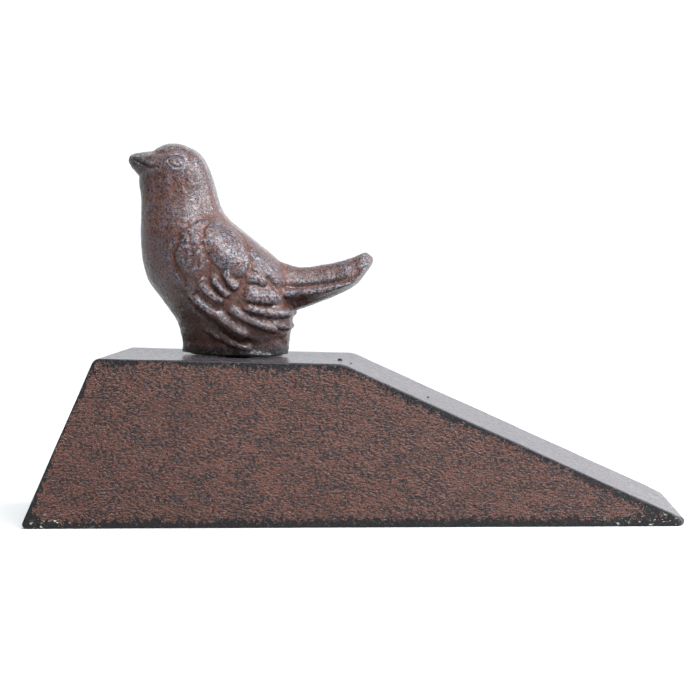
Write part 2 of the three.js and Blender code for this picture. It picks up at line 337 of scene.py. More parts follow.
def combine(ob, other, operation):
    """Adds other to ob, or cuts it out, and deletes it."""
    m = ob.modifiers.new("cut", "BOOLEAN")
    m.operation = operation
    m.solver = "MANIFOLD"
    m.object = other
    apply_modifiers(ob)
    delete(other)


def coordinates(mesh):
    co = np.empty(len(mesh.vertices) * 3)
    mesh.vertices.foreach_get("co", co)
    return co.reshape(-1, 3)


def set_coordinates(mesh, co):
    mesh.vertices.foreach_set("co", co.ravel())
    mesh.update()


def normals(mesh):
    no = np.empty(len(mesh.vertices) * 3)
    mesh.vertex_normals.foreach_get("vector", no)
    return no.reshape(-1, 3)


class Smoother:
    """Averages values over a mesh's edges."""

    def __init__(self, mesh):
        e = np.empty(len(mesh.edges) * 2, np.int32)
        mesh.edges.foreach_get("vertices", e)
        e = e.reshape(-1, 2)
        self.a = np.concatenate([e[:, 0], e[:, 1]])
        self.b = np.concatenate([e[:, 1], e[:, 0]])
        self.n = len(mesh.vertices)
        self.count = np.maximum(np.bincount(self.a, minlength=self.n), 1)

    def average(self, values, rounds):
        v = np.array(values, float)
        flat = v.ndim == 1
        v = v[:, None] if flat else v
        for _ in range(rounds):
            mean = np.stack(
                [np.bincount(self.a, v[self.b, k], self.n) / self.count for k in range(v.shape[1])], axis=1
            )
            v += 0.5 * (mean - v)
        return v[:, 0] if flat else v


# ---- Bird form ----


def body_rings():
    front, back, half, fullness = profile(BREAST), profile(BACK), profile(HALF_WIDTH), profile(FULLNESS)
    body, crown = np.arange(BREAST[0][0], CROWN_START, 0.5), np.arange(CROWN_START, BIRD_TOP, 0.2)
    heights = np.concatenate([body, crown, [BIRD_TOP]])
    angles = np.linspace(0, 2 * math.pi, BODY_SIDES, endpoint=False)
    rings = []
    for z in heights:
        f, b, h, k = front(z), back(z), half(z), fullness(z)
        along = np.sign(np.cos(angles)) * np.abs(np.cos(angles)) ** BODY_POWER
        across = np.sign(np.sin(angles)) * np.abs(np.sin(angles)) ** BODY_POWER
        x = (f + b) / 2 + (b - f) / 2 * along
        y = h * across * (1 + k * along)
        rings.append(np.stack([x, y, np.full_like(x, z)], axis=1))
    return rings


def tail_rings():
    stations = curve_through(TAIL, 60)
    rings = []
    for x, top, groove, edge, keel, half in stations:
        fall, rim, drop = groove - top, groove - edge, keel - edge
        # From the ridge down to the groove, over the bead along the edge, and in to the keel.
        side = [
            (0.0, top), (0.24, top + 0.07 * fall), (0.45, top + 0.3 * fall), (0.61, top + 0.64 * fall),
            (0.7, top + 0.93 * fall), (0.74, groove),
            (0.78, groove + 0.08 * rim), (0.86, groove - 0.08 * rim), (0.94, groove - 0.4 * rim),
            (1.0, groove - 0.8 * rim), (0.985, edge),
            (0.9, edge + 0.12 * drop), (0.7, edge + 0.38 * drop), (0.36, edge + 0.82 * drop), (0.0, keel),
        ]
        points = [(x, u * half, z) for u, z in side] + [(x, -u * half, z) for u, z in side[-2:0:-1]]
        rings.append(points)
    return rings


def beak_rings():
    angles = np.linspace(0, 2 * math.pi, 48, endpoint=False)
    rings = []
    for x, top, under, half in curve_through(BEAK, 40):
        y = half * np.cos(angles)
        z = (top + under) / 2 + (top - under) / 2 * np.sin(angles)
        rings.append(np.stack([np.full_like(y, x), y, z], axis=1))
    return rings


def joined(name, objects):
    """One mesh that holds all the objects' faces."""
    bm = bmesh.new()
    for ob in objects:
        bm.from_mesh(ob.data)
        delete(ob)
    return new_object(name, bm)


def remesh(ob, voxel):
    m = ob.modifiers.new("remesh", "REMESH")
    m.mode = "VOXEL"
    m.voxel_size = voxel * MM
    apply_modifiers(ob)


def on_joint(rings):
    """Points drawn about the screw's axis, with z = 0 on the flat top, put in their place."""
    turn = Matrix.Rotation(TOP_TILT, 4, "Y")
    shift = Vector((JOINT_X, 0, top_height(JOINT_X)))
    return [[turn @ Vector(p) + shift for p in ring] for ring in rings]


def circle(radius, z, sides=64):
    a = np.linspace(0, 2 * math.pi, sides, endpoint=False)
    return [(radius * math.cos(t), radius * math.sin(t), z) for t in a]


def feather_relief(x, z, barbs):
    relief = WING_PROUD * inside(WING, x, z, WING_EDGE)
    for (cx, cz), length, width, slope, out in MOUNDS:
        c, s = math.cos(math.radians(slope)), math.sin(math.radians(slope))
        u, v = ((x - cx) * c + (z - cz) * s) / length, ((z - cz) * c - (x - cx) * s) / width
        relief += out * np.clip(1 - (u * u + v * v) ** 1.6, 0, 1) ** 0.6
    # A feather falls away gently above its quill and steeply below it.
    crest = np.zeros(len(x))
    for points, half, out in FEATHERS:
        d, t = distance_along(points, x, z)
        u = d / (half * (1 + 0.04 * barbs))
        upper, lower = smoothstep(1.9, 0.1, u), np.sqrt(np.clip(1 - u**2, 0, 1))
        ends = smoothstep(-0.02, 0.3, t) * smoothstep(1.03, 0.9, t)
        shape = np.where(d > 0, upper, lower) * ends * (np.abs(d) < FAR)
        crest = np.maximum(crest, FEATHER_GAIN * out * shape * (1 + 0.06 * barbs))
    relief += crest
    for points, width, depth in GROOVES:
        d, t = distance_along(points, x, z)
        relief -= depth * smoothstep(0, 0.12, t) * smoothstep(0, 0.12, 1 - t) * np.exp(-((d / width) ** 2))
    for points, width, out in RIDGES:
        d, t = distance_along(points, x, z)
        relief += out * smoothstep(0, 0.2, t) * smoothstep(0, 0.2, 1 - t) * np.exp(-((d / width) ** 2))
    return relief


def eye_relief(x, z):
    """Lids round a small convex eyeball, with a drilled pupil."""
    c, s = math.cos(math.radians(EYE_SLOPE)), math.sin(math.radians(EYE_SLOPE))
    u = ((x - EYE[0]) * c + (z - EYE[1]) * s) / EYE_LENGTH
    v = ((z - EYE[1]) * c - (x - EYE[0]) * s) / EYE_HEIGHT
    r = np.sqrt(u**2 + v**2 * (1 + 0.8 * u**2))
    lids = LIDS * np.exp(-(((r - 1.15) / 0.25) ** 2))
    corner = LID_CORNER * np.exp(-(((r - 0.88) / 0.15) ** 2))
    ball = EYEBALL * np.sqrt(np.clip(1 - (r / 0.85) ** 2, 0, 1))
    pupil = PUPIL * smoothstep(0.6, 0.25, np.hypot(x - EYE[0], z - EYE[1]))
    return lids + corner + ball + pupil


def sculpt_bird(mesh, smoother):
    co, no = coordinates(mesh) / MM, normals(mesh)
    no = smoother.average(no, 4)
    no /= np.linalg.norm(no, axis=1)[:, None]
    x, y, z = co.T
    lumps = cloud(co, 1.1, 4)
    # Barbs run across the feathers, steeper than their quills.
    barbs = 0.35 * np.sin(2 * math.pi * (x + 0.55 * z + 0.9 * cloud(co, 2.5, 6)) / BARB_PITCH)
    barbs += 0.9 * lumps
    sideways = smoothstep(0.12, 0.45, np.abs(no[:, 1])) * smoothstep(1.0, 2.5, np.abs(y))
    relief = sideways * feather_relief(x, z, barbs)
    relief += EYE_DEPTH * smoothstep(0.3, 0.6, np.abs(no[:, 1])) * eye_relief(x, z)
    u, v = (x - COVERTS[0]) / COVERTS_REACH[0], (z - COVERTS[1]) / COVERTS_REACH[1]
    patch = sideways * np.exp(-(u**2) - v**2)
    relief += 0.4 * patch * cloud(co, 0.9, 7)
    # Barbs on the tail's upper face, and its rough ridge.
    on_tail = smoothstep(*TAIL_START, x)
    tail_barbs = np.sin(2 * math.pi * (x - 0.35 * np.abs(y) + 0.9 * cloud(co, 2.0, 1)) / TAIL_BARB_PITCH)
    ragged = 0.02 * tail_barbs + 0.14 * cloud(co, 1.6, 2)
    relief += on_tail * smoothstep(0.1, 0.5, no[:, 2]) * ragged
    # The mould's parting line was ground off in a flat strip along the crown, the nape and the back.
    strip = smoothstep(-0.1, 0.3, no[:, 2] + no[:, 0]) * (z > STRIP_LOW) * (x > STRIP_FRONT)
    relief -= 0.12 * strip * np.exp(-(((np.abs(y) - STRIP_HALF) / STRIP_GROOVE) ** 2))
    # Sand-cast unevenness, weaker on the tail and stronger round the foot.
    away_from_eye = smoothstep(1.5, 3.5, np.hypot(x - EYE[0], z - EYE[1]))
    fine = (1 - 0.6 * on_tail) * (0.055 * lumps + 0.045 * cloud(co, 0.6, 5))
    relief += away_from_eye * (0.07 * cloud(co, 2.6, 3) + fine)
    relief += 0.25 * smoothstep(44, 39, z) * cloud(co, 1.8, 10)
    set_coordinates(mesh, (co + no * relief[:, None]) * MM)


def store(mesh, name, values):
    layer = mesh.attributes.new(name, "FLOAT", "POINT")
    layer.data.foreach_set("value", values.astype(np.float32))


def mark_relief(mesh):
    """Stores, for the paint, how far each point stands proud and how far its face is turned down, where
    painted shade goes.

    "ridge" is 0 in grooves, 0.5 on plain faces and 1 on ridges.
    """
    smoother = Smoother(mesh)
    co, no = coordinates(mesh) / MM, normals(mesh)
    small = ((co - smoother.average(co, 10)) * no).sum(axis=1)
    large = ((co - smoother.average(co, 60)) * no).sum(axis=1)
    store(mesh, "ridge", smoother.average(np.clip(0.5 + 2.2 * small + 1.1 * large, 0, 1), 1))
    turned = smoother.average(no, 60)[:, 2] - smoother.average(no, 2)[:, 2]
    store(mesh, "under", np.clip(2.5 * turned - 0.25, 0, 1))


def make_bird():
    ob = joined("bird", [loft("b", body_rings()), loft("t", tail_rings()), loft("k", beak_rings())])
    remesh(ob, VOXEL)
    mesh = ob.data
    smoother = Smoother(mesh)
    set_coordinates(mesh, smoother.average(coordinates(mesh), SMOOTHING))
    sculpt_bird(mesh, smoother)
    # All that lies below the foot's underside is cut away.
    ground = [[(-60, -40, z), (60, -40, z), (60, 40, z), (-60, 40, z)] for z in (-20, FOOT_RISE)]
    combine(ob, loft("ground", on_joint(ground)), "DIFFERENCE")
    angles = np.linspace(0, 2 * math.pi, BODY_SIDES, endpoint=False)
    foot = [
        [(FOOT_LENGTH / 2 * math.cos(t), FOOT_WIDTH / 2 * math.sin(t), z) for t in angles]
        for z in (GAP, FOOT_RISE + 2)
    ]
    combine(ob, loft("foot", on_joint(foot)), "UNION")
    hole = [circle(TAPPED_HOLE_R, -1), circle(TAPPED_HOLE_R, TAPPED_DEPTH)]
    combine(ob, loft("hole", on_joint(hole)), "DIFFERENCE")
    mark_relief(ob.data)
    ob.data.shade_smooth()
    ob.data.set_sharp_from_angle(angle=math.radians(BIRD_SHARP))
    return ob


# ---- Wedge form ----

GRID = 3.0  # size of the faces that the casting's unevenness moves
# The casting's unevenness: (amount, size of its lumps, seed)
UNEVEN = [(0.1, 14, 8), (0.05, 5, 9)]
BORDER = 4.0  # width of the strip inside the flanks' outlines that the paint knows about
BORDER_CUTS = (1.3, BORDER)
QUIET_R = (12, 16)  # the casting is even inside the first radius round the joint, uneven past the second
WEDGE_SHARP = 40  # degrees


def rounded_outline(corners, inset, steps):
    """Points of an (x, height) outline from corners (x, height, radius), moved inwards by inset."""
    points = []
    for i, (x, z, radius) in enumerate(corners):
        corner = Vector((x, z))
        before = (Vector(corners[i - 1][:2]) - corner).normalized()
        after = (Vector(corners[(i + 1) % len(corners)][:2]) - corner).normalized()
        half = before.angle(after) / 2
        centre = corner + (before + after).normalized() * (radius / math.sin(half))
        first = corner + before * (radius / math.tan(half)) - centre
        last = corner + after * (radius / math.tan(half)) - centre
        start, end = math.atan2(first.y, first.x), math.atan2(last.y, last.x)
        sweep = (end - start + math.pi) % (2 * math.pi) - math.pi
        for k in range(steps + 1):
            a = start + sweep * k / steps
            points.append(centre + (radius - inset) * Vector((math.cos(a), math.sin(a))))
    return points


def across(name, corners, half_width, edge_radius, steps):
    """An outline carried across the width, with its long edges rounded."""
    turns = np.linspace(0, math.pi / 2, steps + 1)
    near = [(-(half_width - edge_radius * (1 - math.cos(a))), edge_radius * (1 - math.sin(a))) for a in turns]
    rings = [
        [(p.x, y, p.y) for p in rounded_outline(corners, inset, 6)]
        for y, inset in near + [(-y, inset) for y, inset in near[::-1]]
    ]
    return loft(name, rings)


def hollow():
    heel_slope = (TOP_X - HEEL_X) / HEEL_HEIGHT
    ramp_slope = CREST_HEIGHT / (TOE_X - CREST_X)
    below = -10.0

    def heel(z):
        return HEEL_X + z * heel_slope + WALL * math.hypot(1, heel_slope)

    def ceiling(x):
        return top_height(x) - WALL / math.cos(TOP_TILT)

    crest = CREST_X - WALL * math.tan((math.atan(ramp_slope) - TOP_TILT) / 2)
    end = TOE_X - TOE_SOLID
    top = heel(ceiling(TOP_X))
    corners = [
        (heel(below), below), (top, ceiling(top)), (crest, ceiling(crest)),
        (end, (TOE_X - end) * ramp_slope - WALL * math.hypot(1, ramp_slope)), (end, below),
    ]
    rounded = [(x, z, HOLLOW_CORNER_R) for x, z in corners]
    ob = across("hollow", rounded, WIDTH / 2 - WALL, HOLLOW_EDGE_R, 4)
    co = coordinates(ob.data)
    co[:, 1] *= 1 - HOLLOW_DRAFT * np.maximum(co[:, 2] / MM, 0) / (WIDTH / 2 - WALL)
    set_coordinates(ob.data, co)
    return ob


def slice_up(ob, spacing):
    """Cuts the large faces into a grid, with extra cuts beside the flanks' edges and the toe's corners."""
    bm = bmesh.new()
    bm.from_mesh(ob.data)

    def cut(point, normal):
        geometry = bm.verts[:] + bm.edges[:] + bm.faces[:]
        point, normal = Vector(point) * MM, Vector(normal)
        bmesh.ops.bisect_plane(bm, geom=geometry, dist=1e-7, plane_co=point, plane_no=normal)

    for x in np.arange(HEEL_X + spacing, TOE_X - 3, spacing):
        cut((x, 0, 0), (1, 0, 0))
    for y in np.arange(-WIDTH / 2 + spacing, WIDTH / 2 - 1, spacing):
        cut((0, y, 0), (0, 1, 0))
    for z in np.arange(spacing, HEEL_HEIGHT - 1, spacing):
        cut((0, 0, z), (0, 0, 1))
    for k in range(1, 5):
        cut((TOE_X - 2.5 - 0.5 * k, 0, 0), (1, 0, 0))
        for side in (-1, 1):
            cut((0, side * (WIDTH / 2 - 0.55 * k), 0), (0, 1, 0))
    for inset in BORDER_CUTS:
        for (x, z), (nx, nz) in outline_lines():
            cut((x + nx * inset, 0, z + nz * inset), (nx, 0, nz))
    bm.to_mesh(ob.data)
    bm.free()


def outline_lines():
    """A point on each side of the wedge's outline, with the unit normal that points into the iron."""
    top = (HEEL_HEIGHT - CREST_HEIGHT, CREST_X - TOP_X)
    ramp = (CREST_HEIGHT, TOE_X - CREST_X)
    heel = (HEEL_HEIGHT, HEEL_X - TOP_X)
    lines = [((TOP_X, HEEL_HEIGHT), (-top[0], -top[1])), ((TOE_X, 0), (-ramp[0], -ramp[1]))]
    lines += [((HEEL_X, 0), heel), ((0, 0), (0, 1))]
    return [(point, tuple(Vector(n).normalized())) for point, n in lines]


def make_wedge():
    half = WIDTH / 2
    corners = [
        (HEEL_X, 0, HEEL_FOOT_R),
        (TOP_X, HEEL_HEIGHT, HEEL_TOP_R),
        (CREST_X, CREST_HEIGHT, CREST_R),
        (TOE_X, 0, TOE_R),
    ]
    ob = across("wedge", corners, half, EDGE_R, 5)
    combine(ob, hollow(), "DIFFERENCE")
    # The boss has a rounded rim and flares into the ceiling.
    face = -WALL - BOSS_DROP
    boss = [(BOSS_R - 0.5, face), (BOSS_R - 0.15, face + 0.15), (BOSS_R, face + 0.5), (BOSS_R, face + 1.3)]
    boss += [(BOSS_R + 0.3, -WALL - 0.5), (BOSS_R + 1, -WALL - 0.15), (BOSS_R + 1.8, -WALL + 0.1)]
    combine(ob, loft("boss", on_joint([circle(r, z) for r, z in boss])), "UNION")
    hole = [circle(CLEARANCE_HOLE_R, -2 * WALL - BOSS_DROP), circle(CLEARANCE_HOLE_R, WALL)]
    combine(ob, loft("hole", on_joint(hole)), "DIFFERENCE")
    slice_up(ob, GRID)
    mesh = ob.data
    co, no = coordinates(mesh) / MM, normals(mesh)
    x, y, z = co.T
    # Round the toe's corners in plan.
    start, side = x.max() - TOE_CORNER_R, half - TOE_CORNER_R
    over = np.clip((np.abs(y) - side) / TOE_CORNER_R, 0, 1)
    x = np.where(x > start, start + (x - start) * np.sqrt(1 - over**2 * 0.98), x)
    # The cast faces are slightly uneven, except on the floor and where the fasteners and the bird bear.
    quiet = smoothstep(*QUIET_R, np.hypot(x - JOINT_X, y)) * smoothstep(0.1, 2.5, z)
    uneven = sum(amount * cloud(co, size, seed) for amount, size, seed in UNEVEN)
    co = np.stack([x, y, z], axis=1) + no * (quiet * uneven)[:, None]
    set_coordinates(mesh, co * MM)
    distance = np.min([(x - p[0]) * n[0] + (z - p[1]) * n[1] for p, n in outline_lines()], axis=0)
    store(mesh, "border", np.clip(distance / BORDER, 0, 1))
    for number, (px, py, radius, height) in enumerate(PIMPLES):
        ground = top_height(px) if px < CREST_X else (TOE_X - px) * CREST_HEIGHT / (TOE_X - CREST_X)
        combine(ob, pimple(px, py, ground, radius, height, number), "UNION")
    mesh = ob.data
    mesh.shade_smooth()
    mesh.set_sharp_from_angle(angle=math.radians(WEDGE_SHARP))
    m = ob.modifiers.new("weighted", "WEIGHTED_NORMAL")
    m.keep_sharp = True
    apply_modifiers(ob)
    return ob


def pimple(x, y, z, radius, height, seed):
    """An uneven pebble, half sunk in the surface."""
    bm = bmesh.new()
    bmesh.ops.create_icosphere(bm, subdivisions=3, radius=1)
    for v in bm.verts:
        rough = 1 + 0.3 * noise.noise(v.co * 1.5 + Vector((seed * 7.7, 3.1, 9.4)))
        px, py, pz = v.co
        px, py, pz = px * PIMPLE_LENGTH * radius * rough, py * radius * rough, pz * height * rough
        v.co = Vector((x + px, y + py, z + pz)) * MM
    return new_object("pimple", bm)


# ---- Fasteners, drawn about the joint's axis with z = 0 on the flat top ----

WASHER_TOP = -WALL - BOSS_DROP - GAP
SPRING_TOP = WASHER_TOP - WASHER_THICK - GAP
HEAD_TOP = SPRING_TOP - SPRING_THICK - GAP
CROWN_R = 1.4
THREAD_PITCH = 1.0
THREAD_DEPTH = 0.55
TIP_CHAMFER = 0.8
# The cross recess: (height above the head's face, length, width)
RECESS = [(-1, 7.2, 1.75), (0, 6.4, 1.5), (2.4, 3.2, 1.0)]
SPRING_CORNER = 0.12
SPRING_RISE = 0.1  # each end of the spring washer stands this far from level
FASTENER_SHARP = 30  # degrees


def make_screw():
    foot = HEAD_TOP - HEAD_HEIGHT
    outline = [(0, foot), (2.5, foot + 0.02)]
    for a in np.linspace(0, math.pi / 2, 9):
        outline.append((HEAD_R - CROWN_R + CROWN_R * math.sin(a), foot + CROWN_R - CROWN_R * math.cos(a)))
    outline += [(HEAD_R, HEAD_TOP - 0.2), (HEAD_R - 0.2, HEAD_TOP)]
    outline += [(SCREW_R + 0.3, HEAD_TOP), (SCREW_R, HEAD_TOP + 0.3)]
    root = SCREW_R - THREAD_DEPTH
    z = HEAD_TOP + 1
    while z < SCREW_REACH - 1.5:
        outline += [(SCREW_R, z), (root, z + 0.42), (root, z + 0.55), (SCREW_R, z + 0.92)]
        z += THREAD_PITCH
    outline += [(SCREW_R, SCREW_REACH - TIP_CHAMFER), (SCREW_R - TIP_CHAMFER, SCREW_REACH), (0, SCREW_REACH)]
    ob = lathe("screw", outline, 72, False)
    # A cross recess whose arms narrow with depth.
    for turn in (0, math.pi / 2):
        rings = []
        for z, length, width in RECESS:
            u, v = length / 2, width / 2
            corners = [(-u, -v), (u, -v), (u, v), (-u, v)]
            c, s = math.cos(turn), math.sin(turn)
            rings.append([(c * a - s * b, s * a + c * b, foot + z) for a, b in corners])
        combine(ob, loft("recess", on_joint(rings)), "DIFFERENCE")
    return ob


def make_flat_washer():
    low, chamfer, burr = WASHER_TOP - WASHER_THICK, 0.2, 0.1
    hole, rim = CLEARANCE_HOLE_R, WASHER_R
    outline = [(hole + burr, low), (rim - chamfer, low), (rim - 0.05, low + 0.06), (rim, low + chamfer)]
    outline += [(rim, WASHER_TOP - burr), (rim - burr, WASHER_TOP)]
    outline += [(hole + burr, WASHER_TOP), (hole, WASHER_TOP - burr), (hole, low + burr)]
    return lathe("washer", outline, 96, True)


def make_spring_washer():
    """A turned ring with a cut in it, whose ends stand a little apart in height."""
    low, high, c = SPRING_TOP - SPRING_THICK, SPRING_TOP, SPRING_CORNER
    inner, outer = CLEARANCE_HOLE_R, SPRING_R
    section = [(inner + c, low), (outer - c, low), (outer, low + c), (outer, high - c)]
    section += [(outer - c, high), (inner + c, high), (inner, high - c), (inner, low + c)]
    rings = []
    for a in np.linspace(SPRING_SPLIT, 2 * math.pi - SPRING_SPLIT, 90):
        rise = SPRING_RISE * (a / math.pi - 1)
        rings.append([(r * math.cos(a), r * math.sin(a), z + rise) for r, z in section])
    return loft("spring", on_joint(rings))


# ---- Camera, floor and light ----

CAMERA_PLACE = (20.6, -384.8, 60.3)
CAMERA_YAW, CAMERA_PITCH, CAMERA_ROLL = -3.16, 3.42, 0.76  # degrees, to the right, down and clockwise
CAMERA_LENS = 87.43
CAMERA_SENSOR = 36
CAMERA_NEAR = 0.01  # metres
FLOOR_RADIUS = 0.4  # metres; the white world shows past its edge
FLOOR_DROP = 0.05
# Lamps: (name, place in metres, size in metres, watts)
LAMPS = [
    ("key", (0.3, -0.42, 0.5), 0.4, 8),
    ("side", (0.55, -0.02, 0.38), 0.42, 8.5),
    ("top", (0.03, -0.32, 0.68), 0.5, 8.5),
]
LAMP_AIM = (-0.02, 0, 0.04)
LAMP_COLOR = (0.88, 0.94, 1)
WORLD_COLOR = (0.94, 0.965, 1, 1)
WORLD_BASE = 0.1
# The world grows brighter along these axes: (axis, from, to, amount)
WORLD_STEPS = [(1, -0.1, 0.7, 1.02), (0, 0.0, 0.9, 0.12), (2, 0.0, 1.0, 0.1)]


def make_camera():
    yaw, pitch, roll = (math.radians(a) for a in (CAMERA_YAW, CAMERA_PITCH, CAMERA_ROLL))
    turn = Matrix.Rotation(-yaw, 3, "Z") @ Matrix.Rotation(-pitch, 3, "X") @ Matrix.Rotation(roll, 3, "Y")
    right, ahead, up = (turn @ Vector(v) for v in ((1, 0, 0), (0, 1, 0), (0, 0, 1)))
    pose = Matrix((right, up, -ahead)).transposed().to_4x4()
    pose.translation = Vector(CAMERA_PLACE) * MM
    data = bpy.data.cameras.new("camera")
    data.lens = CAMERA_LENS
    data.sensor_width = CAMERA_SENSOR
    data.clip_start = CAMERA_NEAR
    camera = bpy.data.objects.new("camera", data)
    camera.matrix_world = pose
    bpy.context.scene.collection.objects.link(camera)
    bpy.context.scene.camera = camera


def make_stage():
    scene = bpy.context.scene
    scene.view_settings.view_transform = "Standard"
    make_world(scene)
    bm = bmesh.new()
    bmesh.ops.create_circle(bm, cap_ends=True, segments=96, radius=FLOOR_RADIUS)
    bmesh.ops.translate(bm, verts=bm.verts, vec=(0, 0, -FLOOR_DROP * MM))
    floor = new_object("floor", bm)
    floor.data.materials.append(paper())
    for lamp in LAMPS:
        add_softbox(*lamp)


def make_world(scene):
    """A white studio that is brightest behind the object, to +Y, and dimmer to its front and left."""
    world = bpy.data.worlds.new("studio")
    scene.world = world
    world.use_nodes = True
    tree = world.node_tree
    direction = tree.nodes.new("ShaderNodeTexCoord")
    axes = tree.nodes.new("ShaderNodeSeparateXYZ")
    tree.links.new(direction.outputs["Generated"], axes.inputs[0])
    total = None
    for axis, low, high, amount in WORLD_STEPS:
        step = tree.nodes.new("ShaderNodeMapRange")
        step.interpolation_type = "SMOOTHSTEP"
        tree.links.new(axes.outputs[axis], step.inputs["Value"])
        for key, value in (("From Min", low), ("From Max", high), ("To Min", 0), ("To Max", amount)):
            step.inputs[key].default_value = value
        add = tree.nodes.new("ShaderNodeMath")
        tree.links.new(step.outputs[0], add.inputs[0])
        add.inputs[1].default_value = WORLD_BASE
        if total is not None:
            tree.links.new(total, add.inputs[1])
        total = add.outputs[0]
    background = tree.nodes["Background"]
    background.inputs["Color"].default_value = WORLD_COLOR
    tree.links.new(total, background.inputs["Strength"])


def add_softbox(name, location, size, watts):
    lamp = bpy.data.lights.new(name, "AREA")
    lamp.energy = watts
    lamp.size = size
    lamp.color = LAMP_COLOR
    ob = bpy.data.objects.new(name, lamp)
    ob.location = location
    ob.rotation_euler = (Vector(LAMP_AIM) - ob.location).to_track_quat("-Z", "Y").to_euler()
    bpy.context.scene.collection.objects.link(ob)


# ---- Materials ----


class Nodes:
    """Short names for building a shader."""

    def __init__(self, name):
        self.material = bpy.data.materials.new(name)
        self.material.use_nodes = True
        self.tree = self.material.node_tree
        self.shader = self.tree.nodes["Principled BSDF"]
        position = self.add("TexCoord").outputs["Object"]
        self.mm = self.add("VectorMath", {0: position, "Scale": 1 / MM}, operation="SCALE").outputs[0]
        self.place = self.add("SeparateXYZ", {0: self.mm}).outputs
        self.flat = self.add("VectorMath", {0: self.mm, 1: (1, 1, 0)}, operation="MULTIPLY").outputs[0]

    def add(self, kind, inputs=None, **settings):
        node = self.tree.nodes.new("ShaderNode" + kind)
        for key, value in settings.items():
            setattr(node, key, value)
        for key, value in (inputs or {}).items():
            if isinstance(value, bpy.types.NodeSocket):
                self.tree.links.new(value, node.inputs[key])
            else:
                node.inputs[key].default_value = value
        return node

    def noise(self, size, detail=2.0, stretch=(1, 1, 1), roughness=0.55):
        """Noise from 0 to 1 with features of about size millimetres, longer along a stretched axis."""
        scale = tuple(1 / (size * s) for s in stretch)
        place = self.add("VectorMath", {0: self.mm, 1: scale}, operation="MULTIPLY").outputs[0]
        settings = {"Vector": place, "Scale": 1.0, "Detail": detail, "Roughness": roughness}
        return self.add("TexNoise", settings).outputs[0]

    def step(self, value, low, high, bottom=0.0, top=1.0):
        """A soft step of the value from bottom to top between low and high."""
        inputs = {"Value": value, "From Min": low, "From Max": high, "To Min": bottom, "To Max": top}
        return self.add("MapRange", inputs, interpolation_type="SMOOTHSTEP").outputs[0]

    def math(self, operation, a, b=0.0):
        return self.add("Math", {0: a, 1: b}, operation=operation).outputs[0]

    def mix(self, amount, a, b):
        a = a if isinstance(a, bpy.types.NodeSocket) else (*a, 1)
        b = b if isinstance(b, bpy.types.NodeSocket) else (*b, 1)
        return self.add("Mix", {0: amount, 6: a, 7: b}, data_type="RGBA").outputs[2]

    def bump(self, height, distance):
        return self.add("Bump", {"Height": height, "Distance": distance * MM, "Strength": 1.0}).outputs[0]

    def attribute(self, name):
        return self.add("Attribute", attribute_name=name).outputs["Fac"]

    def finish(self, color, roughness, normal, **values):
        for socket, value in (("Base Color", color), ("Roughness", roughness), ("Normal", normal)):
            self.tree.links.new(value, self.shader.inputs[socket])
        for key, value in values.items():
            self.shader.inputs[key.replace("_", " ")].default_value = value
        return self.material


# Colours of the antique paint and the iron, linear. Some also serve for painted shade, painted highlights,
# painted glints and painted reflections.
RUST = (0.072, 0.026, 0.017)
RED_RUST_AND_LOW_SHADE = (0.08, 0.026, 0.017)
BLACK_IRON_AND_SHADE = (0.005, 0.005, 0.006)
SLATE_AND_EDGE_HIGHLIGHT = (0.044, 0.052, 0.072)
PALE_WEAR_AND_GLINT = (0.26, 0.24, 0.26)
CHIPPED = (0.5, 0.46, 0.38)
TOP_REFLECTION_GREY = (0.03, 0.031, 0.038)
STRIP_REFLECTION_GREY = (0.22, 0.21, 0.2)
# The paper under the object, near it and far from it. The darker paper near it is painted shade that evens
# out the lamps' pool of light.
PAPER_SHADED_NEAR = (0.47, 0.46, 0.44)
PAPER_FAR = (0.68, 0.67, 0.65)
# Zinc plating.
SCREW_ZINC = (0.62, 0.6, 0.56)
SPRING_ZINC = (0.5, 0.5, 0.49)
WASHER_ZINC = (0.6, 0.6, 0.59)
ZINC_STAIN = (0.22, 0.17, 0.12)


def tinted(color, amount):
    return tuple(amount * c for c in color)


